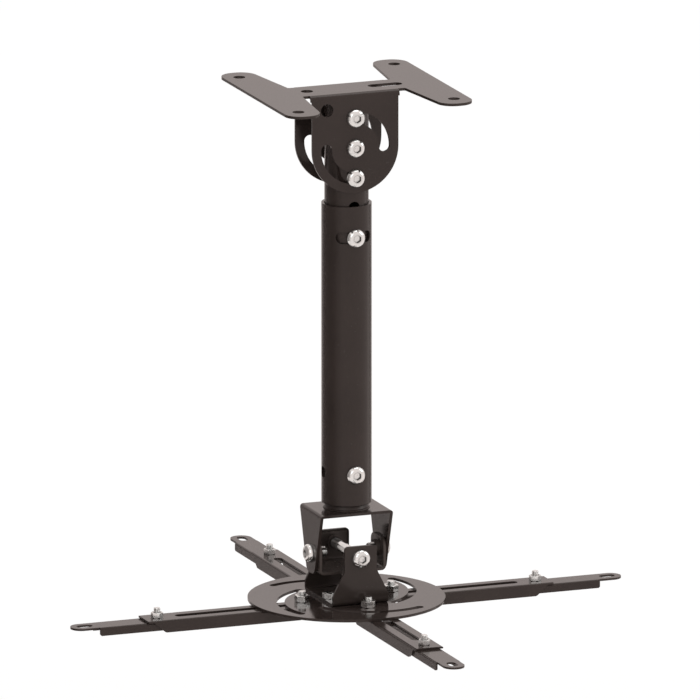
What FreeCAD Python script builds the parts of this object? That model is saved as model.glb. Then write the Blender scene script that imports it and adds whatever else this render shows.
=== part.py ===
import FreeCAD, Part
import math
import os

# Ceiling mount for a projector: a folded bracket, a telescopic pole that tilts in it,
# a cross joint below the pole, and a disc with four arms that lengthen.
# Millimetres. The origin is the middle of the bracket's ceiling face, on the pole's axis.
# +Z points up into the ceiling, +X and +Y run along the arms, and -Y is the bolt head side.

Vector = FreeCAD.Vector

# Fits
face_gap = 0.05
slide_gap = 0.1
bolt_play = 0.5
nut_play = 0.1

# Large button head bolts of the pole and the cross joint, and their nuts
large_thread = 8.0
large_head = 14.0
large_head_height = 4.4
large_socket = 5.0
large_nut_flats = 13.0
large_nut_height = 6.8

# Middle bolts, which carry the arms on the disc
middle_thread = 6.0
middle_head = 10.5
middle_head_height = 3.3
middle_socket = 4.0
middle_nut_flats = 10.0
middle_nut_height = 5.0

# Small bolts, which hold the clevis on the disc and clamp the arm extensions
small_thread = 5.0
small_head = 9.5
small_head_height = 2.8
small_socket = 3.0
small_nut_flats = 8.0
small_nut_height = 4.0
small_hex_height = 3.5

# How far the bolts stand out of their nuts
large_end = 1.2
middle_end = 2.7
small_end = 0.2
clamp_end = 3.3

# Ceiling bracket, folded from one sheet
bracket_sheet = 2.0
bend_radius = 1.5
wing_hole_pitch = 121.2
wing_hole = 8.8
wing_margin = 11.9
wing_tip_margin = 15.4
wing_tip_width = 25.0
wing_tip_round = 12.0
wing_root = 40.0
notch_round = 1.5
cheek_half_width = 33.6
bend_overhang = 1.0
bend_zone = 4.5
centre_hole = 9.0
centre_hole_x = -30.9
centre_slot_length = 26.5
centre_slot_width = 8.5
centre_slot_x = 30.0
side_hole = 9.6
side_hole_x = -22.1
side_hole_drop = 11.3
pivot_drop = 41.1
pole_tilt_travel = 90.0

# Upper tube, with cross holes at one pitch from end to end
pin_pitch = 22.45
upper_tube_diameter = 32.4
upper_tube_wall = 1.8
upper_tube_margin = 8.65
lower_tube_margin = 10.0
pivot_to_height_bolt_count = 3

# Outer tube, which slides on the upper tube
outer_tube_diameter = 36.9
tube_play = 0.3
outer_tube_length = 224.6
outer_tube_lip = 23.25
swivel_travel = 33.0
lower_bolt_height = 23.3

# Lower tube, welded to the yoke
lower_tube_rise = 43.1
lower_tube_gap = 4.5
weld_leg = 2.2

# Yoke, folded from one sheet
yoke_sheet = 2.2
yoke_width = 56.6
yoke_depth = 43.8
yoke_drop = 32.4
leg_below_axis = 14.8
leg_end_width = 15.0
leg_end_round = 6.0
yoke_bend_radius = 0.4

# Cross block between the yoke and the clevis, folded up on four sides
block_sheet = 2.0
block_ear_width = 26.0
block_ear_above_axis = 9.3
block_ear_round = 6.0
block_wall_width = 19.5
block_wall_above_axis = 7.9
block_wall_round = 1.5
block_below_axis = 14.5
collar_diameter = 12.0
collar_depth = 3.0
pitch_bolt_reach = 11.8

# Base clevis, folded from one sheet and bolted on the disc
clevis_sheet = 2.0
clevis_depth = 58.4
clevis_top_width = 25.0
clevis_base_width = 43.4
clevis_step = 7.5
clevis_shoulder = 26.0
clevis_above_axis = 9.4
clevis_round = 3.0
axis_above_disc = 35.0
base_bolt_x = 17.3
base_bolt_y = 8.0

# Disc, with four curved slots set like the vanes of a pinwheel
disc_diameter = 145.0
disc_sheet = 2.0
vane_centre_x = 2.8
vane_centre_y = 17.0
vane_radius = 51.8
vane_width = 6.0
vane_start = -63.0
vane_end = 24.0
arm_count = 4
arm_nut_clearance = 1.8
arm_bolt_y = 3.3

# Arms, folded channels under the disc
arm_sheet = 1.5
arm_width = 22.2
arm_depth = 9.2
arm_length = 124.0
arm_end_round = 1.0
arm_wall_setback = 4.5
arm_wall_foot_setback = 13.5
arm_wall_round = 3.0
arm_wall_start = 4.0
arm_slot_start = 10.0
arm_slot_setback = 24.6
arm_slot_width = 6.5
clamp_bolt_setback = 10.5

# Extensions, narrower channels that slide in the arms and end in a slotted lug
lug_hole_reach = 206.0
lug_slot_length = 12.0
lug_slot_width = 6.5
lug_width = 16.0
lug_margin = 10.6
extension_play = 0.2
extension_depth = 6.2
extension_wall_length = 49.0
extension_wall_overlap = 1.5
extension_wall_chamfer = 1.0
extension_travel = 70.0
extension_tail = 8.0

# Places worked out from the sizes above
pivot_z = -pivot_drop
height_bolt_z = pivot_z - pivot_to_height_bolt_count * pin_pitch
outer_tube_top = height_bolt_z + outer_tube_lip
outer_tube_bottom = outer_tube_top - outer_tube_length
lower_bolt_z = outer_tube_bottom + lower_bolt_height
yoke_top = outer_tube_bottom - lower_tube_gap
axis_z = yoke_top - yoke_drop
disc_top = axis_z - axis_above_disc
disc_bottom = disc_top - disc_sheet
outer_tube_bore = upper_tube_diameter + 2 * tube_play
lower_tube_top = outer_tube_bottom + lower_tube_rise
arm_bolt_x = clevis_depth / 2 + middle_nut_flats / 2 + arm_nut_clearance
lug_reach = lug_hole_reach - arm_bolt_x
clamp_bolt_reach = arm_length - clamp_bolt_setback
arm_names = ["right", "back", "left", "front"]

PLANES = {
    "xy": (Vector(1, 0, 0), Vector(0, 1, 0), Vector(0, 0, 1)),
    "xz": (Vector(1, 0, 0), Vector(0, 0, 1), Vector(0, 1, 0)),
    "yz": (Vector(0, 1, 0), Vector(0, 0, 1), Vector(1, 0, 0)),
}


def box(low, high):
    size = Vector(*high) - Vector(*low)
    return Part.makeBox(size.x, size.y, size.z, Vector(*low))


def mirrored_box(half_x, half_y, low_z, high_z):
    return box((-half_x, -half_y, low_z), (half_x, half_y, high_z))


def rod(diameter, start, end):
    way = Vector(*end) - Vector(*start)
    return Part.makeCylinder(diameter / 2, way.Length, Vector(*start), way)


def rounded_edges(corners):
    """Edges of a closed outline; each corner is a point and the radius of its rounding."""
    tangents = []
    for index, (point, radius) in enumerate(corners):
        before = (corners[index - 1][0] - point).normalize()
        after = (corners[(index + 1) % len(corners)][0] - point).normalize()
        half = before.getAngle(after) / 2
        back = radius / math.tan(half)
        middle = (before + after).normalize() * (radius / math.sin(half) - radius)
        tangents.append((point + before * back, point + middle, point + after * back))
    edges = []
    for index, (start, middle, end) in enumerate(tangents):
        if start.distanceToPoint(end) > 1e-6:
            edges.append(Part.Arc(start, middle, end).toShape())
        following = tangents[(index + 1) % len(tangents)][0]
        if end.distanceToPoint(following) > 1e-6:
            edges.append(Part.LineSegment(end, following).toShape())
    return edges


def plate(plane, corners, start, end):
    """A flat plate: corners are (along, across, radius) in the plane, from start to end."""
    along, across, normal = PLANES[plane]
    placed = [(along * a + across * b + normal * start, r) for a, b, r in corners]
    face = Part.Face(Part.Wire(rounded_edges(placed)))
    return face.extrude(normal * (end - start))


def straight_slot(middle_x, middle_y, length, width, low_z, high_z):
    """An upright cutter with round ends, long in X."""
    a = length / 2
    b = width / 2
    corners = [(middle_x + i * a, middle_y + j * b, b) for i, j in ((-1, -1), (1, -1), (1, 1), (-1, 1))]
    return plate("xy", corners, low_z, high_z)


def curved_slot(plane, centre, radius, width, from_angle, to_angle, start, end):
    """A cutter that follows an arc about centre and has round ends."""
    along, across, normal = PLANES[plane]
    origin = along * centre[0] + across * centre[1] + normal * start

    def at(distance, angle):
        turn = math.radians(angle)
        return origin + along * (distance * math.cos(turn)) + across * (distance * math.sin(turn))

    outer = radius + width / 2
    inner = radius - width / 2
    middle = (from_angle + to_angle) / 2
    overrun = math.degrees(width / 2 / radius)
    edges = [
        Part.Arc(at(outer, from_angle), at(outer, middle), at(outer, to_angle)),
        Part.Arc(at(outer, to_angle), at(radius, to_angle + overrun), at(inner, to_angle)),
        Part.Arc(at(inner, to_angle), at(inner, middle), at(inner, from_angle)),
        Part.Arc(at(inner, from_angle), at(radius, from_angle - overrun), at(outer, from_angle)),
    ]
    face = Part.Face(Part.Wire([edge.toShape() for edge in edges]))
    return face.extrude(normal * (end - start))


def folded(outer, inner, outer_round, inner_round, is_bend):
    """A folded sheet: the outer block less the inner one, with their bend edges rounded."""
    skin = outer.makeFillet(outer_round, [edge for edge in outer.Edges if is_bend(edge, outer)])
    hollow = inner.makeFillet(inner_round, [edge for edge in inner.Edges if is_bend(edge, inner)])
    return skin.cut(hollow)


def bend_at(direction, end):
    """Tells whether an edge runs along direction at the top or the bottom of a block."""
    def test(edge, block):
        level = block.BoundBox.ZMax if end == "top" else block.BoundBox.ZMin
        bounds = edge.BoundBox
        flat = abs(bounds.ZMin - level) < 1e-6 and abs(bounds.ZMax - level) < 1e-6
        length = bounds.XLength if direction == "x" else bounds.YLength
        return flat and length > 1e-3
    return test


def turned(shape, angle, centre=Vector(0, 0, 0), axis=Vector(0, 0, 1)):
    copy = shape.copy()
    copy.rotate(centre, axis, angle)
    return copy


def aimed(shape, place, direction):
    """Turns a piece built along +Z to point in direction, and moves its origin to place."""
    copy = shape.copy()
    copy.Placement = FreeCAD.Placement(Vector(*place), FreeCAD.Rotation(Vector(0, 0, 1), Vector(*direction)))
    return copy


def hexagon(flats, low, high):
    points = [Vector(0, flats / math.sqrt(3), low)]
    for corner in range(1, 7):
        points.append(turned(Part.Vertex(points[0]), 60 * corner).Point)
    return Part.Face(Part.makePolygon(points)).extrude(Vector(0, 0, high - low))


def shank(thread, length):
    """A thread's outer shape, from the origin down."""
    return Part.makeCylinder(thread / 2, length, Vector(0, 0, -length))


def button_bolt(thread, head, head_height, socket, length):
    """A button headed bolt with a hexagon socket; the head's flat underside is at the origin."""
    rim_height = head_height * 0.3
    rim = Part.makeCylinder(head / 2, rim_height)
    crown = Part.makeCone(head / 2, head * 0.3, head_height - rim_height, Vector(0, 0, rim_height))
    body = rim.fuse([crown, shank(thread, length)]).removeSplitter()
    return body.cut(hexagon(socket, head_height * 0.4, head_height + 1))


def nut(thread, flats, height):
    bore = Part.makeCylinder(thread / 2 + nut_play / 2, height)
    return hexagon(flats, 0, height).cut(bore)


def hex_bolt(thread, flats, head_height, length):
    """The head lies below the origin's plane and the shank rises from it."""
    stem = turned(shank(thread, length), 180, axis=Vector(1, 0, 0))
    return hexagon(flats, -head_height, 0).fuse(stem).removeSplitter()


def large_bolt(length):
    return button_bolt(large_thread, large_head, large_head_height, large_socket, length)


def cross_bolt(half_grip, z):
    """A large bolt through the part along Y, head at -Y."""
    length = 2 * half_grip + large_nut_height + large_end
    return aimed(large_bolt(length), (0, -half_grip, z), (0, -1, 0))


def cross_nut(half_grip, z):
    return aimed(nut(large_thread, large_nut_flats, large_nut_height), (0, half_grip, z), (0, 1, 0))


def cross_hole(z, reach, diameter=large_thread + bolt_play):
    return rod(diameter, (0, -reach, z), (0, reach, z))


def together(solids):
    return Part.makeCompound(solids)


# Ceiling bracket
cheek_inside = upper_tube_diameter / 2 + slide_gap
cheek_outside = cheek_inside + bracket_sheet
bend_half_width = cheek_half_width + bend_overhang
tilt_pins = [pivot_z + pin_pitch, pivot_z, pivot_z - pin_pitch]


def bracket_wing():
    """The right wing of the top plate, with rounded ends that hold the ceiling screws."""
    outer = wing_hole_pitch / 2 + wing_margin
    tip = wing_hole_pitch / 2 + wing_tip_margin
    inner = outer - wing_tip_width
    notch = cheek_outside - bend_radius - bracket_sheet
    half = [
        (bend_half_width - bend_overhang, notch, 0),
        (wing_root, notch, notch_round),
        (inner, tip, wing_tip_round),
        (outer, tip, wing_tip_round),
    ]
    other = [(x, -y, r) for x, y, r in reversed(half)]
    return plate("xy", half + other, -bracket_sheet, 0)


def ceiling_bracket():
    foot = pivot_z - cheek_half_width
    fold = folded(
        mirrored_box(bend_half_width, cheek_outside, foot, 0),
        mirrored_box(bend_half_width, cheek_inside, foot - 1, -bracket_sheet),
        bend_radius + bracket_sheet, bend_radius, bend_at("x", "top"))
    reach = cheek_outside + 1
    outline = mirrored_box(bend_half_width, reach, -bend_zone, 0)
    outline = outline.fuse(mirrored_box(cheek_half_width, reach, pivot_z, 0))
    outline = outline.fuse(cross_hole(pivot_z, reach, 2 * cheek_half_width))
    body = fold.common(outline)
    wing = bracket_wing()
    body = body.fuse([wing, turned(wing, 180)]).removeSplitter()
    holes = [cross_hole(pivot_z, reach)]
    for start in (0.0, 180.0):
        holes.append(curved_slot("xz", (0, pivot_z), pin_pitch, large_thread + bolt_play,
                                 start, start + pole_tilt_travel, -reach, reach))
    holes.append(rod(side_hole, (side_hole_x, -reach, -side_hole_drop), (side_hole_x, reach, -side_hole_drop)))
    for x in (-1, 1):
        for y in (-1, 1):
            place = (x * wing_hole_pitch / 2, y * wing_hole_pitch / 2)
            holes.append(rod(wing_hole, (*place, -bracket_sheet - 1), (*place, 1)))
    holes.append(rod(centre_hole, (centre_hole_x, 0, -bracket_sheet - 1), (centre_hole_x, 0, 1)))
    holes.append(straight_slot(centre_slot_x, 0, centre_slot_length, centre_slot_width, -bracket_sheet - 1, 1))
    return body.cut(holes)


# Pole
def tube(outer, inner, low, high):
    return rod(outer, (0, 0, low), (0, 0, high)).cut(rod(inner, (0, 0, low - 1), (0, 0, high + 1)))


def upper_tube():
    top = tilt_pins[0] + upper_tube_margin
    height_steps = int((height_bolt_z - lower_tube_margin - lower_tube_top) / pin_pitch)
    last_pin = height_bolt_z - height_steps * pin_pitch
    body = tube(upper_tube_diameter, upper_tube_diameter - 2 * upper_tube_wall,
                last_pin - lower_tube_margin, top)
    count = round((tilt_pins[0] - last_pin) / pin_pitch) + 1
    return body.cut([cross_hole(tilt_pins[0] - index * pin_pitch, upper_tube_diameter) for index in range(count)])


def swivel_cutter():
    """The space that the height bolt sweeps in the outer tube as the tube turns about it."""
    reach = outer_tube_diameter
    hole = large_thread + bolt_play
    low = height_bolt_z - hole / 2
    edge = math.radians(swivel_travel)
    parts = []
    for side in (-1, 1):
        far = Vector(reach * math.sin(edge), side * reach * math.cos(edge), low)
        near = Vector(-far.x, far.y, low)
        tip = Vector(0, 0, low)
        wedge = Part.Face(Part.makePolygon([tip, near, far, tip])).extrude(Vector(0, 0, hole))
        parts.append(wedge)
    straight = cross_hole(height_bolt_z, reach)
    parts.append(turned(straight, swivel_travel))
    return turned(straight, -swivel_travel).fuse(parts)


def outer_tube():
    body = tube(outer_tube_diameter, outer_tube_bore, outer_tube_bottom, outer_tube_top)
    across = cross_hole(lower_bolt_z, outer_tube_diameter)
    return body.cut([swivel_cutter(), across, turned(across, 90)])


def lower_tube():
    """The stub that fits up the outer tube, with its weld to the yoke."""
    outside = upper_tube_diameter
    inside = outside - 2 * upper_tube_wall
    body = tube(outside, inside, yoke_top, lower_tube_top)
    bead = Part.makeCone(outside / 2 + weld_leg, outside / 2, weld_leg, Vector(0, 0, yoke_top))
    bead = bead.cut(rod(inside, (0, 0, yoke_top - 1), (0, 0, outer_tube_top)))
    across = cross_hole(lower_bolt_z, outside)
    return body.fuse(bead).removeSplitter().cut([across, turned(across, 90)])


# Cross joint
yoke_inside = yoke_width / 2 - yoke_sheet
clevis_inside = clevis_depth / 2 - clevis_sheet


def yoke():
    foot = axis_z - leg_below_axis
    fold = folded(
        mirrored_box(yoke_width / 2, yoke_depth / 2, foot, yoke_top),
        mirrored_box(yoke_inside, yoke_depth, foot - 1, yoke_top - yoke_sheet),
        yoke_bend_radius + yoke_sheet, yoke_bend_radius, bend_at("y", "top"))
    half = [(leg_end_width / 2, foot, leg_end_round), (yoke_depth / 2, yoke_top, 0)]
    corners = half + [(-y, z, r) for y, z, r in reversed(half)]
    body = fold.common(plate("yz", corners, -yoke_width, yoke_width))
    return body.cut(rod(large_thread + bolt_play, (-yoke_width, 0, axis_z), (yoke_width, 0, axis_z)))


def folded_up(half_x, half_y, low, high, direction, top_round):
    """A U with two walls up; direction is the way that its bends run."""
    skin = bend_radius + block_sheet
    inner_x = half_x if direction == "x" else half_x - block_sheet
    inner_y = half_y - block_sheet if direction == "x" else half_y
    shape = folded(
        mirrored_box(half_x, half_y, low, high),
        mirrored_box(inner_x, inner_y, low + block_sheet, high + 1),
        skin, bend_radius, bend_at(direction, "bottom"))
    half_width = half_x if direction == "x" else half_y
    half = [(half_width, low, 0), (half_width, high, top_round)]
    corners = half + [(-a, z, r) for a, z, r in reversed(half)]
    plane = "xz" if direction == "x" else "yz"
    return shape.common(plate(plane, corners, -yoke_width, yoke_width))


def cross_block():
    low = axis_z - block_below_axis
    side = yoke_inside - slide_gap
    front = clevis_inside - slide_gap
    ears = folded_up(side, block_ear_width / 2, low, axis_z + block_ear_above_axis, "y", block_ear_round)
    walls = folded_up(block_wall_width / 2, front, low, axis_z + block_wall_above_axis, "x", block_wall_round)
    collars = []
    for face, across in ((side, Vector(1, 0, 0)), (front, Vector(0, 1, 0))):
        for way in (-1, 1):
            start = across * (way * (face - block_sheet - collar_depth)) + Vector(0, 0, axis_z)
            end = across * (way * (face - block_sheet / 2)) + Vector(0, 0, axis_z)
            collars.append(rod(collar_diameter, start, end))
    body = ears.fuse([walls] + collars).removeSplitter()
    threaded = turned(cross_hole(axis_z, yoke_width, large_thread + nut_play), 90)
    return body.cut([threaded, cross_hole(axis_z, clevis_depth)])


def pitch_bolts():
    seat = yoke_width / 2 + face_gap
    pattern = large_bolt(pitch_bolt_reach + face_gap)
    return together([aimed(pattern, (way * seat, 0, axis_z), (way, 0, 0)) for way in (-1, 1)])


def base_bolt_places():
    return [(way * base_bolt_x, way * base_bolt_y) for way in (-1, 1)]


def base_clevis():
    top = axis_z + clevis_above_axis
    half_base = clevis_base_width / 2
    fold = folded(
        mirrored_box(half_base, clevis_depth / 2, disc_top, top),
        mirrored_box(half_base, clevis_inside, disc_top + clevis_sheet, top + 1),
        bend_radius + clevis_sheet, bend_radius, bend_at("x", "bottom"))
    half_top = clevis_top_width / 2
    half = [(half_base, disc_top, 0), (half_base, disc_top + clevis_step, 0),
            (half_top, disc_top + clevis_shoulder, 0), (half_top, top, clevis_round)]
    corners = half + [(-x, z, r) for x, z, r in reversed(half)]
    body = fold.common(plate("xz", corners, -clevis_depth, clevis_depth))
    holes = [cross_hole(axis_z, clevis_depth)]
    for x, y in base_bolt_places():
        holes.append(rod(small_thread + bolt_play, (x, y, disc_bottom), (x, y, axis_z)))
    return body.cut(holes)


def base_bolts():
    length = disc_sheet + clevis_sheet + small_nut_height + small_end
    pattern = button_bolt(small_thread, small_head, small_head_height, small_socket, length)
    return together([aimed(pattern, (x, y, disc_bottom), (0, 0, -1)) for x, y in base_bolt_places()])


def base_nuts():
    pattern = nut(small_thread, small_nut_flats, small_nut_height)
    seat = disc_top + clevis_sheet
    return together([aimed(pattern, (x, y, seat), (0, 0, 1)) for x, y in base_bolt_places()])


# Disc
def disc():
    low = disc_bottom - 1
    high = disc_top + 1
    body = rod(disc_diameter, (0, 0, disc_bottom), (0, 0, disc_top))
    vane = curved_slot("xy", (vane_centre_x, vane_centre_y), vane_radius, vane_width,
                       vane_start, vane_end, low, high)
    bolt_hole = rod(middle_thread + bolt_play, (arm_bolt_x, arm_bolt_y, low), (arm_bolt_x, arm_bolt_y, high))
    holes = []
    for index in range(arm_count):
        angle = 360 / arm_count * index
        holes.append(turned(vane, angle))
        holes.append(turned(bolt_hole, angle))
    for x, y in base_bolt_places():
        holes.append(rod(small_thread + bolt_play, (x, y, low), (x, y, high)))
    return body.cut(holes)


# Arms. Each is built along +X with its bolt at the origin and the disc's underside at z = 0.
arm_top = -face_gap
arm_underside = arm_top - arm_sheet
extension_top = arm_underside - slide_gap
extension_underside = extension_top - arm_sheet


def on_disc(shape, index):
    """Puts a piece of one arm in its place under the disc."""
    copy = shape.copy()
    copy.translate(Vector(arm_bolt_x, arm_bolt_y, disc_bottom))
    return turned(copy, 360 / arm_count * index)


def arm_channel():
    half = arm_width / 2
    foot = arm_top - arm_depth
    body = box((-half, -half, foot), (arm_length, half, arm_top))
    hollow = box((-half - 1, -half + arm_sheet, foot - 1), (arm_length + 1, half - arm_sheet, arm_underside))
    body = body.makeFillet(arm_sheet, [edge for edge in body.Edges
                                       if abs(edge.BoundBox.ZMin - arm_top) < 1e-6 and edge.BoundBox.XLength > 1])
    body = body.cut(hollow)
    plan = [(-half, -half, half), (arm_length, -half, arm_end_round),
            (arm_length, half, arm_end_round), (-half, half, half)]
    side = [(-half, arm_top, 0), (-half, arm_underside, 0), (0, arm_underside, 0),
            (arm_wall_start, foot, arm_wall_round), (arm_length - arm_wall_foot_setback, foot, arm_wall_round),
            (arm_length - arm_wall_setback, arm_underside, 0), (arm_length, arm_underside, 0),
            (arm_length, arm_top, 0)]
    body = body.common(plate("xy", plan, foot, arm_top)).common(plate("xz", side, -half, half))
    slot_end = arm_length - arm_slot_setback
    holes = [
        rod(middle_thread + bolt_play, (0, 0, foot), (0, 0, 1)),
        rod(small_thread + bolt_play, (clamp_bolt_reach, 0, foot), (clamp_bolt_reach, 0, 1)),
        straight_slot((arm_slot_start + slot_end) / 2, 0, slot_end - arm_slot_start, arm_slot_width, foot, 1),
    ]
    return body.cut(holes)


def arm_extension():
    """A flat tongue inside the arm, then two walls, then a slotted lug."""
    half = arm_width / 2 - arm_sheet - extension_play
    start = clamp_bolt_reach - extension_travel - extension_tail
    wall_start = clamp_bolt_reach - extension_wall_overlap
    wall_end = wall_start + extension_wall_length
    tip = lug_reach + lug_margin
    foot = extension_top - extension_depth
    body = box((start, -half, foot), (tip, half, extension_top))
    hollow = box((start - 1, -half + arm_sheet, foot - 1), (tip + 1, half - arm_sheet, extension_underside))
    body = body.makeFillet(arm_sheet, [edge for edge in body.Edges
                                       if abs(edge.BoundBox.ZMin - extension_top) < 1e-6
                                       and edge.BoundBox.XLength > 1])
    body = body.cut(hollow)
    lug = lug_width / 2
    outline = [(start, half, arm_end_round), (wall_end, half, 0), (wall_end, lug, 0), (tip, lug, lug)]
    plan = outline + [(x, -y, r) for x, y, r in reversed(outline)]
    side = [(start, extension_top, 0), (start, extension_underside, 0), (wall_start, extension_underside, 0),
            (wall_start, foot, 0), (wall_end - extension_wall_chamfer, foot, 0),
            (wall_end, foot + extension_wall_chamfer, 0),
            (wall_end, extension_underside, 0), (tip, extension_underside, 0), (tip, extension_top, 0)]
    body = body.common(plate("xy", plan, foot, extension_top)).common(plate("xz", side, -half, half))
    width = small_thread + bolt_play
    holes = [
        straight_slot(clamp_bolt_reach - extension_travel / 2, 0, extension_travel + width, width, foot, 1),
        straight_slot(lug_reach, 0, lug_slot_length, lug_slot_width, foot, 1),
    ]
    return body.cut(holes)


def clamp_bolt():
    seat = extension_underside - face_gap
    length = arm_top - seat + small_nut_height + clamp_end
    return aimed(hex_bolt(small_thread, small_nut_flats, small_hex_height, length),
                 (clamp_bolt_reach, 0, seat), (0, 0, 1))


def clamp_nut():
    return aimed(nut(small_thread, small_nut_flats, small_nut_height), (clamp_bolt_reach, 0, arm_top), (0, 0, 1))


def arm_bolt():
    seat = arm_underside - face_gap
    length = disc_sheet - seat + middle_nut_height + middle_end
    pattern = button_bolt(middle_thread, middle_head, middle_head_height, middle_socket, length)
    return aimed(pattern, (0, 0, seat), (0, 0, -1))


def arm_nut():
    return aimed(nut(middle_thread, middle_nut_flats, middle_nut_height), (0, 0, disc_sheet), (0, 0, 1))


# The files, one for each piece or group of like fasteners
tilt_grip = cheek_outside + face_gap
pole_grip = outer_tube_diameter / 2 + face_gap
roll_grip = clevis_depth / 2 + face_gap
pieces = {
    "ceiling_bracket": ceiling_bracket(),
    "upper_tube": upper_tube(),
    "tilt_bolts": together([cross_bolt(tilt_grip, z) for z in tilt_pins]),
    "tilt_nuts": together([cross_nut(tilt_grip, z) for z in tilt_pins]),
    "height_bolt": cross_bolt(pole_grip, height_bolt_z),
    "height_nut": cross_nut(pole_grip, height_bolt_z),
    "outer_tube": outer_tube(),
    "lower_tube": lower_tube(),
    "lower_bolt": cross_bolt(pole_grip, lower_bolt_z),
    "lower_nut": cross_nut(pole_grip, lower_bolt_z),
    "yoke": yoke(),
    "cross_block": cross_block(),
    "pitch_bolts": pitch_bolts(),
    "base_clevis": base_clevis(),
    "roll_bolt": cross_bolt(roll_grip, axis_z),
    "roll_nut": cross_nut(roll_grip, axis_z),
    "base_bolts": base_bolts(),
    "base_nuts": base_nuts(),
    "disc": disc(),
    "arm_bolts": together([on_disc(arm_bolt(), index) for index in range(arm_count)]),
    "arm_nuts": together([on_disc(arm_nut(), index) for index in range(arm_count)]),
}
arm_pieces = {"arm": arm_channel(), "extension": arm_extension(), "clamp_bolt": clamp_bolt(), "clamp_nut": clamp_nut()}
for index, side in enumerate(arm_names):
    for name, shape in arm_pieces.items():
        pieces[f"{name}_{side}"] = on_disc(shape, index)

os.makedirs("parts", exist_ok=True)
for name, shape in pieces.items():
    shape.exportStep(f"parts/{name}.step")
    print(name, len(shape.Solids), "solids", round(shape.Volume, 1), "mm3", "valid" if shape.isValid() else "invalid")
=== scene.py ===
import math

import bmesh
import bpy
import numpy as np
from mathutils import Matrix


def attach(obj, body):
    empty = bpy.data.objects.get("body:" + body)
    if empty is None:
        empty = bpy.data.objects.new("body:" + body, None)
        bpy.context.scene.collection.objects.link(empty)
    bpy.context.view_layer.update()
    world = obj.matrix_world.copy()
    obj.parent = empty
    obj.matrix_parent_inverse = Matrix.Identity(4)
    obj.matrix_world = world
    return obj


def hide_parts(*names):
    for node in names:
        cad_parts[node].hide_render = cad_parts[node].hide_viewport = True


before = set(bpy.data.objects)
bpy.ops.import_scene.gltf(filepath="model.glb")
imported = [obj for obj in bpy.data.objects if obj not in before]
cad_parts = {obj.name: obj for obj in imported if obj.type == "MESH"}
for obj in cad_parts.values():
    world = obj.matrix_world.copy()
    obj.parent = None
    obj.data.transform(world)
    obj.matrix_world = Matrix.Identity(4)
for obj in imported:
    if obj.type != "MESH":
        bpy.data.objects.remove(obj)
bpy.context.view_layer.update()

mm = 0.001
print("frame loaded:", len(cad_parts), "nodes")


class Wire:
    # A shader socket that can stand in a Python sum. Each operator adds one Math node, and node()
    # adds any other kind. The stops of a colour ramp are pairs of place and colour.
    def __init__(self, tree, socket=None):
        self.tree = tree
        self.socket = socket

    def node(self, kind, settings=None, sockets=None, out=0):
        made = self.tree.nodes.new(kind)
        for name, value in (settings or {}).items():
            if name == "stops":
                ramp = made.color_ramp
                for index, (place, colour) in enumerate(value):
                    stop = ramp.elements[index] if index < 2 else ramp.elements.new(place)
                    stop.position = place
                    stop.color = (*colour, 1.0)
            else:
                setattr(made, name, value)
        for name, value in (sockets or {}).items():
            if isinstance(value, Wire):
                self.tree.links.new(value.socket, made.inputs[name])
            else:
                made.inputs[name].default_value = value
        return Wire(self.tree, made.outputs[out] if len(made.outputs) else None)

    def sum(self, operation, first, second):
        return self.node("ShaderNodeMath", {"operation": operation}, {0: first, 1: second})

    def __add__(self, other):
        return self.sum("ADD", self, other)

    def __radd__(self, other):
        return self.sum("ADD", other, self)

    def __sub__(self, other):
        return self.sum("SUBTRACT", self, other)

    def __rsub__(self, other):
        return self.sum("SUBTRACT", other, self)

    def __mul__(self, other):
        return self.sum("MULTIPLY", self, other)

    # A mask that goes from 0 at low to 1 at high, softly.
    def between(self, low, high):
        return self.node("ShaderNodeMapRange", {"interpolation_type": "SMOOTHSTEP"},
                         {"Value": self, "From Min": low, "From Max": high})


def newMaterial(name):
    material = bpy.data.materials.new(name)
    material.use_nodes = True
    material.node_tree.nodes.clear()
    return material, Wire(material.node_tree)


def noise(wire, place, size, detail=3.0, roughness=0.5):
    # Cloudy pattern with patches about size metres wide.
    return wire.node("ShaderNodeTexNoise", {}, {"Vector": place, "Scale": 1 / size, "Detail": detail,
                                                "Roughness": roughness})


def mixColour(wire, factor, first, second):
    # RGBA mix: the named sockets of a Mix node repeat for each data type, so they go by number.
    return wire.node("ShaderNodeMix", {"data_type": "RGBA"}, {0: factor, 6: first, 7: second}, out=2)


def mixShader(wire, factor, first, second):
    return wire.node("ShaderNodeMixShader", {}, {0: factor, 1: first, 2: second})


def finishMaterial(wire, sockets):
    shader = wire.node("ShaderNodeBsdfPrincipled", {}, sockets)
    wire.node("ShaderNodeOutputMaterial", {}, {"Surface": shader})


# What both finishes share: where the slow clouds of colour begin and end, and how finely the
# shader looks round each edge that it rounds.
shared = {"cloudEdges": (0.35, 0.65), "edgeSamples": 4}


def roundedBump(wire, height, depth, edge):
    # Relief of a height pattern in metres, on edges that look rounded to the radius edge.
    rounded = wire.node("ShaderNodeBevel", {"samples": shared["edgeSamples"]}, {"Radius": edge})
    return wire.node("ShaderNodeBump", {}, {"Strength": 1.0, "Distance": depth, "Height": height,
                                            "Normal": rounded})


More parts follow.
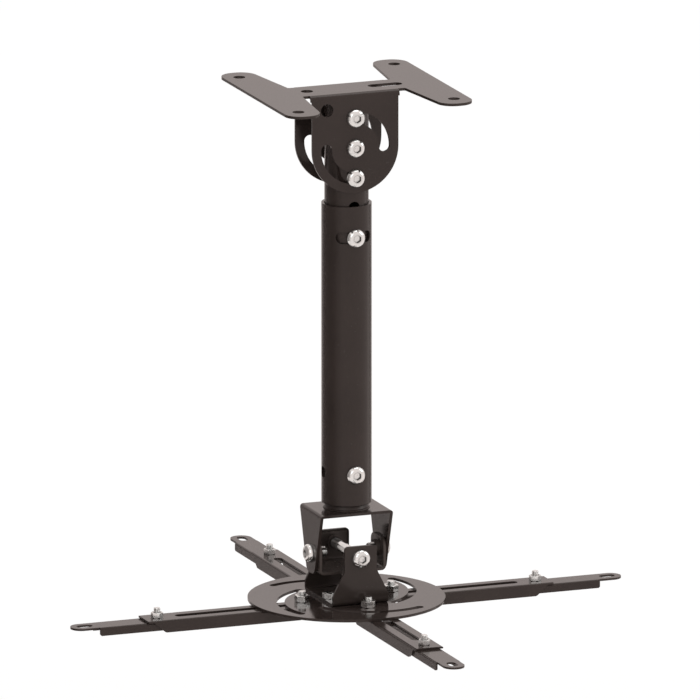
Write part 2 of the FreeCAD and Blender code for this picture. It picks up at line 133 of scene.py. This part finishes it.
# Gloss black powder coat. The film has a fine orange peel, a slow change of gloss, thin rub marks
# along the way that the piece slides or is handled, and softly rounded sheet edges.
def blackPaint(name, paint):
    material, wire = newMaterial(name)
    place = wire.node("ShaderNodeTexCoord", out="Object")
    clouds = noise(wire, place, paint["cloudSize"])
    peel = noise(wire, place, paint["peelSize"], detail=2.0)
    stretched = wire.node("ShaderNodeMapping", {}, {"Vector": place, "Scale": paint["rubStretch"]})
    rubs = noise(wire, stretched, paint["rubSize"], detail=4.0, roughness=0.7).between(*paint["rubEdges"])
    specks = noise(wire, place, paint["speckSize"], detail=1.0).between(*paint["speckEdges"])
    cloudy = clouds.between(*shared["cloudEdges"])
    colour = mixColour(wire, cloudy, (*paint["deep"], 1), (*paint["pale"], 1))
    colour = mixColour(wire, specks * paint["speckStrength"], colour, (*paint["speck"], 1))
    roughness = paint["roughness"] + clouds * paint["cloudRoughness"] + rubs * paint["rubRoughness"]
    height = peel + rubs * paint["rubDepth"]
    bump = roundedBump(wire, height, paint["peelDepth"], paint["edge"])
    finishMaterial(wire, {"Base Color": colour, "Roughness": roughness, "IOR": paint["ior"],
                          "Specular Tint": (*paint["tint"], 1), "Normal": bump})
    return material


def paintLike(**changes):
    settings = {
        "deep": (0.0255, 0.0200, 0.0179), "pale": (0.0301, 0.0236, 0.0212), "cloudSize": 0.045,
        "roughness": 0.10, "cloudRoughness": 0.08, "ior": 1.36, "tint": (1.0, 0.95, 0.93),
        "peelSize": 0.0013, "peelDepth": 0.000012, "edge": 0.00035,
        "rubStretch": (1.0, 1.0, 1.0), "rubSize": 0.02, "rubEdges": (0.60, 0.72),
        "rubRoughness": 0.06, "rubDepth": -0.4,
        "speck": (0.05, 0.047, 0.045), "speckSize": 0.0022, "speckEdges": (0.70, 0.78),
        "speckStrength": 0.35,
    }
    settings.update(changes)
    return settings


# Bright zinc plate: clouded passivate colour, fine turned or rolled marks, a few dull spots, and
# painted shade, darker and rougher, in the sockets, nut bores and thread roots, with a painted darker
# reflection round each socket's mouth, where the mesh's own per-point value says so.
def zincPlate(name, zinc):
    material, wire = newMaterial(name)
    place = wire.node("ShaderNodeTexCoord", out="Object")
    clouds = noise(wire, place, zinc["cloudSize"], detail=4.0)
    grain = noise(wire, place, zinc["grainSize"], detail=3.0, roughness=0.6)
    spots = noise(wire, place, zinc["spotSize"], detail=2.0).between(*zinc["spotEdges"])
    cloudy = clouds.between(*shared["cloudEdges"])
    colour = mixColour(wire, cloudy, (*zinc["cool"], 1), (*zinc["warm"], 1))
    colour = mixColour(wire, spots * zinc["spotStrength"], colour, (*zinc["dull"], 1))
    # The mesh's per-point value is painted shade: it darkens the colour and roughens the finish where
    # shade falls in the hollows.
    paintedShade = wire.node("ShaderNodeAttribute", {"attribute_name": "paintedShade"}, out="Fac")
    paintedShade = paintedShade * (clouds * zinc["paintedShadeClouds"] + zinc["paintedShadeShare"])
    colour = mixColour(wire, paintedShade, colour, (*zinc["paintedShade"], 1))
    roughness = (zinc["roughness"] + grain * zinc["grainRoughness"] + spots * zinc["spotRoughness"]
                 + paintedShade * zinc["paintedShadeRoughness"])
    bump = roundedBump(wire, grain, zinc["grainDepth"], zinc["edge"])
    finishMaterial(wire, {"Base Color": colour, "Metallic": 1.0, "Roughness": roughness, "Normal": bump})
    return material


def zincLike(**changes):
    settings = {
        "cool": (0.715, 0.750, 0.745), "warm": (0.770, 0.788, 0.778), "cloudSize": 0.006,
        "dull": (0.45, 0.48, 0.48), "spotSize": 0.0025, "spotEdges": (0.60, 0.70),
        "spotStrength": 0.35, "spotRoughness": 0.10,
        # The colour of the painted shade, how much the clouds vary it, its base share and the roughness it
        # adds.
        "paintedShade": (0.14, 0.135, 0.13), "paintedShadeClouds": 0.4, "paintedShadeShare": 0.8, "paintedShadeRoughness": 0.25,
        "roughness": 0.08, "grainSize": 0.0007, "grainRoughness": 0.12, "grainDepth": 0.00001,
        "edge": 0.00025,
    }
    settings.update(changes)
    return settings


# One finish for each kind of painted piece. The rub marks run the way that the piece slides.
paints = {
    "ceiling_bracket": paintLike(cloudSize=0.06, rubSize=0.015, edge=0.0002),
    "upper_tube": paintLike(cloudSize=0.03, rubStretch=(6.0, 6.0, 0.35), rubSize=0.006, rubRoughness=0.10),
    "outer_tube": paintLike(cloudSize=0.05, rubStretch=(3.0, 3.0, 0.5), rubSize=0.02),
    "lower_tube": paintLike(cloudSize=0.03, roughness=0.30),
    "yoke": paintLike(cloudSize=0.02, rubSize=0.008),
    # The cross block and the base clevis take the same black coat written lighter: painted fill light for
    # the shade inside the joint.
    "cross_block": paintLike(cloudSize=0.015, rubSize=0.006, roughness=0.20, deep=(0.055, 0.046, 0.042),
                             pale=(0.062, 0.053, 0.048)),
    "base_clevis": paintLike(cloudSize=0.02, rubSize=0.008, deep=(0.0295, 0.0240, 0.0215),
                             pale=(0.0340, 0.0280, 0.0250)),
    "disc": paintLike(cloudSize=0.05, roughness=0.07, rubSize=0.012),
}
armPaint = {"x": paintLike(cloudSize=0.03, rubStretch=(0.3, 5.0, 5.0), rubSize=0.006, rubRoughness=0.09),
            "y": paintLike(cloudSize=0.03, rubStretch=(5.0, 0.3, 5.0), rubSize=0.006, rubRoughness=0.09)}
# The arms in the order of their quarter turns from +X, each with the axis that it lies along.
armSides = {"right": "x", "back": "y", "left": "x", "front": "y"}
for side, way in armSides.items():
    paints["arm_" + side] = armPaint[way]
    paints["extension_" + side] = armPaint[way]
zincs = {
    "large": zincLike(),
    "middle": zincLike(cloudSize=0.005, roughness=0.14),
    "small": zincLike(cloudSize=0.004, grainSize=0.0005, roughness=0.15),
}


def dress(node, material):
    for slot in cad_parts[node].material_slots:
        slot.material = material


paintMaterials = {}
for node, paint in paints.items():
    paintMaterials[node] = blackPaint("paint_" + node, paint)
    dress(node, paintMaterials[node])
zincMaterials = {size: zincPlate("zinc_" + size, zinc) for size, zinc in zincs.items()}
print("materials:", len(paintMaterials) + len(zincMaterials))


# Surfaces. Points nearer than merge, in metres, are one, and faces that meet at more than
# sharpAngle degrees keep a sharp edge.
surface = {"merge": 1e-7, "sharpAngle": 40}


def wholeTurn(count):
    return np.linspace(0, 2 * math.pi, count, endpoint=False)


def ringPoints(radius, height, turn):
    # Points in metres on rings about the Z axis. Rows are the first index, points round a ring the second.
    points = np.stack([radius * np.cos(turn), radius * np.sin(turn), height], axis=-1)
    return points.reshape(-1, 3) * mm


def gridFaces(rows, columns):
    # Each face joins two neighbours of one row with the same two of the next, round and round.
    row, column = np.meshgrid(np.arange(rows - 1), np.arange(columns), indexing="ij")
    following = (column + 1) % columns
    corners = [row * columns + column, row * columns + following,
               (row + 1) * columns + following, (row + 1) * columns + column]
    return np.stack(corners, axis=-1).reshape(-1, 4)


def mergeDoubles(mesh):
    merged = bmesh.new()
    merged.from_mesh(mesh)
    bmesh.ops.remove_doubles(merged, verts=merged.verts, dist=surface["merge"])
    merged.to_mesh(mesh)
    merged.free()


def standing(name, mesh, body):
    # The mesh becomes an object that rides on a body, smooth where its faces meet at a low angle.
    mesh.polygons.foreach_set("use_smooth", np.ones(len(mesh.polygons), dtype=bool))
    mesh.set_sharp_from_angle(angle=math.radians(surface["sharpAngle"]))
    piece = bpy.data.objects.new(name, mesh)
    bpy.context.scene.collection.objects.link(piece)
    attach(piece, body)
    return piece


def meshObject(name, points, faces, material, body, paintedShade=None):
    # Points that fall together, as at a pole, become one, so that the surface is closed.
    mesh = bpy.data.meshes.new(name)
    mesh.vertices.add(len(points))
    mesh.vertices.foreach_set("co", np.asarray(points, dtype=np.float32).ravel())
    mesh.loops.add(faces.size)
    mesh.loops.foreach_set("vertex_index", faces.ravel().astype(np.int32))
    mesh.polygons.add(len(faces))
    mesh.polygons.foreach_set("loop_start", np.arange(0, faces.size, 4, dtype=np.int32))
    mesh.update(calc_edges=True)
    # The per-point painted shade, if given, goes to the mesh as an attribute that the zinc shader reads.
    if paintedShade is not None:
        attribute = mesh.attributes.new("paintedShade", "FLOAT", "POINT")
        attribute.data.foreach_set("value", paintedShade.astype(np.float32).ravel())
    mergeDoubles(mesh)
    mesh.materials.append(material)
    return standing(name, mesh, body)


def turnTo(points, place, direction):
    # Turns a shape built along +Z to direction, as the CAD model does, and moves its origin to place.
    forward = np.asarray(direction, dtype=float)
    alongY = abs(forward[1]) == 1
    helper = np.array([0.0, 0.0, 1.0]) if alongY else np.array([0.0, 1.0, 0.0])
    sideways = np.cross(helper, forward)
    upwards = np.cross(forward, sideways)
    return points @ np.stack([sideways, upwards, forward]) + np.asarray(place) * mm


def quarterTurns(points, quarter):
    # Turns points about the pole's axis: each quarter of a turn takes (x, y) to (-y, x).
    x, y, z = np.asarray(points, dtype=float).T
    for _ in range(quarter):
        x, y = -y, x
    return np.stack([x, y, z], axis=-1)


# Bolts. Each is one grid wound round its axis from the middle of the socket's floor, up the
# socket's six walls, over the dome, under the head, down the thread and over the end.
boltSizes = {
    "large": {"thread": 8.0, "pitch": 1.25, "head": 14.0, "headHeight": 4.4, "socket": 5.0},
    "middle": {"thread": 6.0, "pitch": 1.0, "head": 10.5, "headHeight": 3.3, "socket": 4.0},
    "small": {"thread": 5.0, "pitch": 0.8, "head": 9.5, "headHeight": 2.8, "socket": 3.0,
              "hexHead": (8.0, 3.5)},
}
nutSizes = {"large": (13.0, 6.8), "middle": (10.0, 5.0), "small": (8.0, 4.0)}
# The button head. Depth, crown and rim are shares of the head's height, width and height, floorShare
# and mouthShare are shares of the socket, and the sink and the edges are in millimetres.
button = {"socketDepth": 0.6, "floorSink": 0.4, "floorShare": 0.97, "floorEdge": 0.1, "mouthEdge": 0.15,
          "mouthShare": 1.05, "crown": 0.24, "rim": 0.125, "domeFrom": 0.15, "domeRings": 9,
          "underEdge": 0.12}
# Hexagon heads and nuts: a cone turns the corners down from this share of the flats on.
hexagon = {"coneShare": 0.48, "coneAngle": 30}
# The thread: its grooves are a sawtooth cut off at bottom and crest, and its start is plain.
thread = {"around": 48, "ringsPerTurn": 6, "depth": 0.6134, "plain": 0.4, "cutOff": 1.2, "steepness": 1.4,
          "lead": 1 / 12, "endRing": 0.8}
nutBore = {"mouth": 0.35, "play": 0.03, "wave": 0.12}
# Painted shade from 0 to 1: on the rings of a socket from its middle outwards, deepest on its walls, with
# a painted darker reflection on the rings round its mouth, then in thread roots and in nuts.
paintedShading = {"socket": (0.12, 0.08, 0.85, 0.8, 0.45, 0.15, 0.0), "root": 0.35, "nutMouth": 0.4,
           "nutBore": 0.9}


def hexagonRadius(flats, turn):
    # Half the flats over the cosine of the angle to the middle of the nearest flat.
    side = math.pi / 3
    return flats / 2 / np.cos(np.abs((turn + side / 2) % side - side / 2))


def buttonRows(size, turn):
    # Radius and height of each ring in millimetres. The dome is a quarter ellipse from the crown's
    # edge to the rim: step gives how far round it the ring lies.
    top = size["headHeight"]
    rim = size["head"] / 2
    crown = size["head"] * button["crown"]
    low = top * button["rim"]
    socket = hexagonRadius(size["socket"], turn)
    floor = top * (1 - button["socketDepth"])
    rows = [(0.0, floor - button["floorSink"]), (socket * button["floorShare"], floor),
            (socket, floor + button["floorEdge"]), (socket, top - button["mouthEdge"]),
            (socket * button["mouthShare"], top), (crown, top)]
    for step in np.linspace(button["domeFrom"], 1.0, button["domeRings"]):
        bow = math.sin(step * math.pi / 2)
        rows.append((crown + (rim - crown) * bow, low + (top - low) * math.sqrt(max(0.0, 1 - bow ** 2))))
    return rows + [(rim, button["underEdge"]), (rim - button["underEdge"], 0.0)]


def hexagonRows(flats, height, turn):
    # Rings of a hexagon from its outer face to its seat, with its corners turned down at both ends.
    side = hexagonRadius(flats, turn)
    inner = flats * hexagon["coneShare"]
    drop = np.clip(side - inner, 0, None) * math.tan(math.radians(hexagon["coneAngle"]))
    return [(0.0, height), (inner, height), (side, height - drop), (side, drop), (inner, 0.0)]


def spread(rows, turn):
    # Radii and heights of all rings, each with one value for every point round the ring.
    return [np.stack([np.broadcast_to(row[part], turn.shape) for row in rows]) for part in (0, 1)]


def threadPhase(depth, pitch, turn):
    # Place within a turn of the thread, from 0 to 1: depth over pitch minus the share of a turn.
    return (depth / pitch - turn / (2 * math.pi)) % 1.0


def boltShape(size, length, hexHead=False, plain=thread["plain"], threadShade=0.0):
    # The head is above the origin and the thread below it. The thread's radius is its outer radius
    # less its depth times the blunted sawtooth. The last argument lays painted shade all over the threaded
    # stretch.
    turn = wholeTurn(thread["around"])
    rows = hexagonRows(*size["hexHead"], turn) if hexHead else buttonRows(size, turn)
    radius, height = spread(rows, turn)
    outer = size["thread"] / 2
    pitch = size["pitch"]
    depth = np.linspace(0, length, int(length / pitch * thread["ringsPerTurn"]))[:, None]
    depth = depth * np.ones_like(turn)
    fade = np.clip((depth - plain) / pitch, 0, 1)
    saw = np.abs(threadPhase(depth, pitch, turn) * 2 - 1)
    groove = np.clip(thread["cutOff"] - saw * thread["steepness"], 0, 1) * fade
    lead = size["thread"] * thread["lead"]
    taper = lead - np.clip(length - depth, 0, lead)
    shank = outer - np.maximum(groove * pitch * thread["depth"], taper)
    tip = np.zeros((1, turn.size))
    face = tip + outer * thread["endRing"]
    # Painted shade on each point: in the socket's rings, and in the thread roots or all over the threaded
    # stretch.
    paintedShade = np.zeros(radius.shape)
    if not hexHead:
        paintedShade[:len(paintedShading["socket"])] = np.array(paintedShading["socket"])[:, None]
    paintedShade = np.concatenate([paintedShade, np.maximum(groove * paintedShading["root"], threadShade * fade), tip, tip])
    radius = np.concatenate([radius, shank, face, tip])
    height = np.concatenate([height, -depth, -depth[-1:], -depth[-1:]])
    return ringPoints(radius, height, turn), gridFaces(*radius.shape)[:, ::-1], paintedShade


def nutShape(sizeName):
    # A hexagon with its corners turned down at both ends, and a threaded bore: one ring of rows
    # that ends where it starts. The bore's radius waves with the thread.
    size = boltSizes[sizeName]
    flats, height = nutSizes[sizeName]
    turn = wholeTurn(thread["around"])
    outside, levels = spread(hexagonRows(flats, height, turn)[1:], turn)
    bore = size["thread"] / 2
    climb = np.linspace(0, height, int(height / size["pitch"] * thread["ringsPerTurn"]))[:, None]
    climb = climb * np.ones_like(turn)
    wave = np.abs(threadPhase(climb, size["pitch"], turn) * 2 - 1) * nutBore["wave"]
    flare = np.clip(nutBore["mouth"] - np.minimum(climb, height - climb), 0, None)
    inside = bore + nutBore["play"] + np.maximum(wave, flare)
    mouth = np.full((1, turn.size), bore + nutBore["mouth"])
    radius = np.concatenate([outside, mouth, inside, mouth, outside[:1]])
    level = np.concatenate([levels, mouth * 0, climb, mouth * 0 + height, levels[:1]])
    # Painted shade in the nut's mouths and down its bore, where shade falls inside it.
    mouthShade = mouth * 0 + paintedShading["nutMouth"]
    paintedShade = np.concatenate([outside * 0, mouthShade, inside * 0 + paintedShading["nutBore"], mouthShade, mouth * 0])
    return ringPoints(radius, level, turn), gridFaces(*radius.shape)[:, ::-1], paintedShade


def fastenerSet(node, sizeName, body, shapes):
    # Joins placed bolts or nuts, each with its shape, place, direction and quarter turns, in one piece.
    points = []
    faces = []
    paintedShades = []
    start = 0
    for (shape, shapeFaces, paintedShade), place, direction, quarter in shapes:
        points.append(quarterTurns(turnTo(shape, place, direction), quarter))
        faces.append(shapeFaces + start)
        # Each shape's painted shade goes with its points.
        paintedShades.append(paintedShade.ravel())
        start += len(shape)
    piece = meshObject(node + "_threaded", np.concatenate(points), np.concatenate(faces),
                       zincMaterials[sizeName], body, np.concatenate(paintedShades))
    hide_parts(node)


# Seats of the bolts in millimetres, as in the CAD model. Levels on the pole's axis: the pivot and the
# pitch of the holes by it, the height bolt, the lower bolt, the axis of the joint and the disc's top.
# Then half of what the bolts through each piece grip, the x and y of the right arm's bolt and of a
# base bolt, and the way from an arm bolt out to its clamp bolt.
places = {"pivot": -41.1, "pitch": 22.45, "height": -108.45, "lower": -286.5, "axis": -346.7,
          "discTop": -381.7, "cheek": 18.35, "tube": 18.5, "clevis": 29.25, "yoke": 28.35,
          "armBolt": (36.0, 3.3), "base": (17.3, 8.0), "clamp": 113.5}
# Gaps and sheets between the seats, and how far the ends stand out of their nuts. The last value is the
# painted shade laid over the roll bolt's threaded stretch.
fits = {"gap": 0.05, "slide": 0.1, "disc": 2.0, "clevisSheet": 2.0, "armSheet": 1.5, "largeEnd": 1.2,
        "middleEnd": 2.7, "baseEnd": 0.2, "clampEnd": 3.3, "pitchReach": 11.85, "rollShank": 39.5,
        "rollThreadShade": 0.9}
discUnder = places["discTop"] - fits["disc"]
left, right, front, back, down, up = (-1, 0, 0), (1, 0, 0), (0, -1, 0), (0, 1, 0), (0, 0, -1), (0, 0, 1)


def crossPair(name, body, halfGrip, levels, plain=thread["plain"], threadShade=0.0):
    # Bolts through the part along Y, heads at -Y, with their nuts.
    height = nutSizes["large"][1]
    bolt = boltShape(boltSizes["large"], 2 * halfGrip + height + fits["largeEnd"], plain=plain, threadShade=threadShade)
    nut = nutShape("large")
    ending = "s" if len(levels) > 1 else ""
    fastenerSet(name + "_bolt" + ending, "large", body,
                [(bolt, (0, -halfGrip, level), front, 0) for level in levels])
    fastenerSet(name + "_nut" + ending, "large", body,
                [(nut, (0, halfGrip, level), back, 0) for level in levels])


def jointBolts():
    crossPair("tilt", "pole", places["cheek"],
              [places["pivot"] + step * places["pitch"] for step in (1, 0, -1)])
    crossPair("height", "height_pin", places["tube"], [places["height"]])
    crossPair("lower", "sleeve", places["tube"], [places["lower"]])
    # The roll bolt's threaded stretch is painted dark: painted shade between the clevis and the block's
    # walls.
    crossPair("roll", "plate", places["clevis"], [places["axis"]], plain=fits["rollShank"],
              threadShade=fits["rollThreadShade"])
    pitchBolt = boltShape(boltSizes["large"], fits["pitchReach"])
    fastenerSet("pitch_bolts", "large", "cross",
                [(pitchBolt, (-places["yoke"], 0, places["axis"]), left, 0),
                 (pitchBolt, (places["yoke"], 0, places["axis"]), right, 0)])


def baseBolts():
    clevisTop = places["discTop"] + fits["clevisSheet"]
    length = clevisTop - discUnder + nutSizes["small"][1] + fits["baseEnd"]
    bolt = boltShape(boltSizes["small"], length)
    baseX, baseY = places["base"]
    baseSeats = [(-baseX, -baseY), (baseX, baseY)]
    fastenerSet("base_bolts", "small", "plate",
                [(bolt, (x, y, discUnder), down, 0) for x, y in baseSeats])
    fastenerSet("base_nuts", "small", "plate",
                [(nutShape("small"), (x, y, clevisTop), up, 0) for x, y in baseSeats])


def armBolts():
    x, y = places["armBolt"]
    top = places["discTop"]
    seat = discUnder - fits["armSheet"] - 2 * fits["gap"]
    bolt = boltShape(boltSizes["middle"], top - seat + nutSizes["middle"][1] + fits["middleEnd"])
    quarters = range(len(armSides))
    fastenerSet("arm_bolts", "middle", "plate",
                [(bolt, (x, y, seat), down, quarter) for quarter in quarters])
    fastenerSet("arm_nuts", "middle", "plate",
                [(nutShape("middle"), (x, y, top), up, quarter) for quarter in quarters])


def clampBolts():
    armTop = discUnder - fits["gap"]
    seat = armTop - 2 * fits["armSheet"] - fits["slide"] - fits["gap"]
    length = armTop - seat + nutSizes["small"][1] + fits["clampEnd"]
    bolt = boltShape(boltSizes["small"], length, hexHead=True)
    x = places["armBolt"][0] + places["clamp"]
    y = places["armBolt"][1]
    for quarter, side in enumerate(armSides):
        body = "arm_" + side
        fastenerSet("clamp_bolt_" + side, "small", body, [(bolt, (x, y, seat), down, quarter)])
        fastenerSet("clamp_nut_" + side, "small", body, [(nutShape("small"), (x, y, armTop), up, quarter)])


jointBolts()
baseBolts()
armBolts()
clampBolts()
print("fasteners threaded")


# Weld between the lower tube and the yoke: a ring whose section is a quarter of an ellipse,
# with a ripple for each drop of the weld and a slow wander of its width. Each wander is its
# share of the width, its waves round the tube and where they start. The bead reaches a little
# into the tube's wall and into the yoke, and its inner rings lie in the wall.
weld = {"tube": 16.2, "foot": -314.3, "width": 1.2, "height": 1.1, "ripples": 54, "rippleDepth": 0.09,
        "rippleBow": 0.6, "wanders": [(0.05, 5, 0), (0.03, 13, 1)], "intoTube": 0.15, "intoYoke": 0.02,
        "topRing": 0.3, "innerRing": 0.45, "around": 432, "across": 12}
# The weld's paint is written darker than the tube's: painted shade at the tube's foot.
weldPaint = paintLike(deep=(0.019, 0.013, 0.011), pale=(0.026, 0.018, 0.015), roughness=0.30, ior=1.34,
                      cloudSize=0.008, rubSize=0.005)


def weldBead():
    turn = wholeTurn(weld["around"])
    bow = np.linspace(0, math.pi / 2, weld["across"])[:, None]
    wander = 1 + sum(share * np.sin(waves * turn + start) for share, waves, start in weld["wanders"])
    drops = turn * weld["ripples"] / 2 + weld["rippleBow"] * np.sin(bow)
    ripple = weld["rippleDepth"] * np.abs(np.sin(drops))
    width = weld["width"] * wander - ripple
    height = weld["height"] * wander - ripple
    radius = weld["tube"] - weld["intoTube"] + width * np.cos(bow)
    level = weld["foot"] - weld["intoYoke"] + height * np.sin(bow)
    inner = np.full_like(radius[:1], weld["tube"] - weld["innerRing"])
    radius = np.concatenate([radius, radius[-1:] - weld["topRing"], inner, radius[:1]])
    level = np.concatenate([level, level[-1:], level[:1], level[:1]])
    piece = meshObject("weld_bead", ringPoints(radius, level, turn), gridFaces(*radius.shape),
                       blackPaint("paint_weld", weldPaint), "sleeve")


# The tube's plain weld is drawn in to lie under the bead: what stands out past the tube's radius
# keeps a share of its reach, and the weld's top ring comes down by the same share.
neck = {"share": 0.35, "cadWeld": 2.3}


def slimNeck():
    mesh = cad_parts["lower_tube"].data.copy()
    mergeDoubles(mesh)
    points = np.empty(3 * len(mesh.vertices), dtype=np.float32)
    mesh.vertices.foreach_get("co", points)
    x, y, z = points.reshape(-1, 3).T / mm
    radius = np.hypot(x, y)
    slim = weld["tube"] + (radius - weld["tube"]) * neck["share"]
    inwards = np.where(radius > weld["tube"], slim / radius, 1.0)
    rise = z - weld["foot"]
    low = (rise > 0) & (rise < neck["cadWeld"])
    z = np.where(low, weld["foot"] + rise * neck["share"], z)
    points = np.stack([x * inwards, y * inwards, z], axis=-1) * mm
    mesh.vertices.foreach_set("co", points.astype(np.float32).ravel())
    mesh.materials.clear()
    mesh.materials.append(paintMaterials["lower_tube"])
    piece = standing("neck_tube", mesh, "sleeve")
    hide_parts("lower_tube")


slimNeck()
weldBead()
print("weld laid")


# Studio: a pale floor, a white world and three large soft lamps, each with its place, size and watts.
# The floor's shadow keeps a tenth of its strength for the camera and in reflections.
studio = {"floorLevel": -0.85, "floorSize": 400.0, "floorColour": (0.85, 0.85, 0.85), "shown": 0.9,
          "white": (1, 1, 1, 1), "floorWhite": 1.04, "world": 0.85,
          "mirrored": (1.0, 0.893, 0.862, 1), "mirroredWorld": 0.95, "mirroredFloor": 1.04,
          "lamps": [((-2.2, -2.6, 1.6), 2.2, 14.0), ((2.6, -1.0, 1.2), 1.6, 20.0),
                    ((0.5, 0.3, 2.6), 2.0, 18.0)],
          "aim": (0, 0, -0.2)}
# A curved black card at the left and behind, which gives the gloss its dark side. It stands round
# the pole's axis. Its ends are turns in degrees from the -X direction, positive towards +Y, and
# dark gives how dark it is along the way from end to end. Its top fades out over rise metres, from
# the card's own top down to low beyond tallEnd.
card = {"radius": 1.5, "bottom": -0.84, "top": 1.2, "columns": 144, "rows": 12,
        "colour": (0.34, 0.325, 0.32, 1), "ends": (-50.0, 170.0), "low": -0.45, "rise": 0.5,
        "tallEnd": (50.0, 85.0),
        "dark": [(0.0, 0.0), (0.12, 0.5), (0.22, 1.0), (0.48, 0.95), (0.54, 0.62), (0.66, 0.4),
                 (0.95, 0.75), (1.0, 0.0)]}


def lightPaths(wire):
    # First 1 for what the camera sees itself, then 1 for what it sees in a mirror or in glass.
    path = wire.node("ShaderNodeLightPath").socket.node.outputs
    camera, glossy, through = [Wire(wire.tree, path[kind])
                               for kind in ("Is Camera Ray", "Is Glossy Ray", "Is Transmission Ray")]
    return camera, wire.sum("MAXIMUM", glossy, through)


def stageMesh(name, points, faces):
    mesh = bpy.data.meshes.new(name)
    mesh.from_pydata(points, [], faces)
    piece = bpy.data.objects.new(name, mesh)
    bpy.context.scene.collection.objects.link(piece)
    material, wire = newMaterial(name)
    mesh.materials.append(material)
    return wire


def studioFloor():
    half = studio["floorSize"] / 2
    level = studio["floorLevel"]
    corners = [(-half, -half, level), (half, -half, level), (half, half, level), (-half, half, level)]
    wire = stageMesh("floor", corners, [(0, 1, 2, 3)])
    camera, mirrored = lightPaths(wire)
    pale = wire.node("ShaderNodeBsdfDiffuse", {}, {"Color": (*studio["floorColour"], 1)})
    white = wire.node("ShaderNodeEmission", {}, {"Color": studio["white"],
                                                 "Strength": studio["floorWhite"]})
    warm = wire.node("ShaderNodeEmission", {}, {"Color": studio["mirrored"],
                                                "Strength": studio["mirroredFloor"]})
    shown = mixShader(wire, mirrored * studio["shown"], pale, warm)
    shown = mixShader(wire, camera * studio["shown"], shown, white)
    under = wire.node("ShaderNodeNewGeometry", out="Backfacing")  # the floor is clear from below
    shown = mixShader(wire, under, shown, wire.node("ShaderNodeBsdfTransparent"))
    wire.node("ShaderNodeOutputMaterial", {}, {"Surface": shown})


def blackCard():
    turn = np.radians(np.linspace(*card["ends"], card["columns"]))
    level = np.linspace(card["bottom"], card["top"], card["rows"])[:, None] * np.ones_like(turn)
    points = np.stack([-card["radius"] * np.cos(turn) * np.ones_like(level),
                       card["radius"] * np.sin(turn) * np.ones_like(level), level], axis=-1)
    faces = gridFaces(*level.shape).reshape(card["rows"] - 1, card["columns"], 4)
    faces = faces[:, :-1]  # without the faces that would close the ring
    wire = stageMesh("card", points.reshape(-1, 3).tolist(), faces.reshape(-1, 4).tolist())
    parts = wire.node("ShaderNodeSeparateXYZ", {}, {0: wire.node("ShaderNodeTexCoord", out="Object")})
    across, along, height = [Wire(wire.tree, parts.socket.node.outputs[axis]) for axis in "XYZ"]
    around = wire.sum("ARCTAN2", along, 0 - across)
    first, last = np.radians(card["ends"])
    stops = [(place, (shade, shade, shade)) for place, shade in card["dark"]]
    dark = wire.node("ShaderNodeValToRGB", {"stops": stops}, {0: (around - first) * (1 / (last - first))})
    tall = 1 - around.between(*np.radians(card["tallEnd"]))
    rise = height - tall * (card["top"] - card["rise"] - card["low"])
    fade = 1 - rise.between(card["low"], card["low"] + card["rise"])
    camera = lightPaths(wire)[0]
    matt = wire.node("ShaderNodeBsdfDiffuse", {}, {"Color": card["colour"]})
    clear = wire.node("ShaderNodeBsdfTransparent")
    shown = mixShader(wire, dark * fade * (1 - camera), clear, matt)
    wire.node("ShaderNodeOutputMaterial", {}, {"Surface": shown})


def studioWorld():
    world = bpy.data.worlds.new("studio")
    bpy.context.scene.world = world
    world.use_nodes = True
    world.node_tree.nodes.clear()
    wire = Wire(world.node_tree)
    camera, mirrored = lightPaths(wire)
    white = wire.node("ShaderNodeBackground", {}, {"Color": studio["white"], "Strength": 1.0})
    strength = mirrored * (studio["mirroredWorld"] - studio["world"]) + studio["world"]
    room = wire.node("ShaderNodeBackground", {}, {"Color": studio["mirrored"], "Strength": strength})
    wire.node("ShaderNodeOutputWorld", {}, {"Surface": mixShader(wire, camera, room, white)})


def studioLamp(name, place, size, power):
    lamp = bpy.data.lights.new(name, "AREA")
    lamp.size = size
    lamp.energy = power
    holder = bpy.data.objects.new(name, lamp)
    holder.location = place
    bpy.context.scene.collection.objects.link(holder)
    x, y, z = np.array(studio["aim"]) - np.array(place)
    holder.rotation_euler = (math.atan2(math.hypot(x, y), -z), 0, math.atan2(-x, y))


studioFloor()
blackCard()
studioWorld()
for number, (place, size, power) in enumerate(studio["lamps"]):
    studioLamp("lamp" + str(number), place, size, power)
bpy.context.scene.view_settings.view_transform = "Standard"
print("studio lit")

# The camera looks from the front left and a little above, through a very long lens, so that
# upright and level lines stay nearly parallel as in the photograph. Width is what it shows across.
camera = {"azimuth": -20.98, "elevation": 13.45, "lens": 1650.0, "sensor": 36.0, "width": 0.5115,
          "middle": (0.0024, -0.0009, -0.1965), "nearest": 5.0, "farthest": 600.0}


def setCamera():
    lens = bpy.data.cameras.new("camera")
    lens.lens = camera["lens"]
    lens.sensor_width = camera["sensor"]
    lens.clip_start = camera["nearest"]
    lens.clip_end = camera["farthest"]
    viewer = bpy.data.objects.new("camera", lens)
    bpy.context.scene.collection.objects.link(viewer)
    bpy.context.scene.camera = viewer
    azimuth = math.radians(camera["azimuth"])
    elevation = math.radians(camera["elevation"])
    towards = np.array([math.sin(azimuth) * math.cos(elevation), -math.cos(azimuth) * math.cos(elevation),
                        math.sin(elevation)])
    distance = camera["width"] * camera["lens"] / camera["sensor"]
    viewer.location = np.array(camera["middle"]) + towards * distance
    viewer.rotation_euler = (math.pi / 2 - elevation, 0, azimuth)


setCamera()
print("camera set")
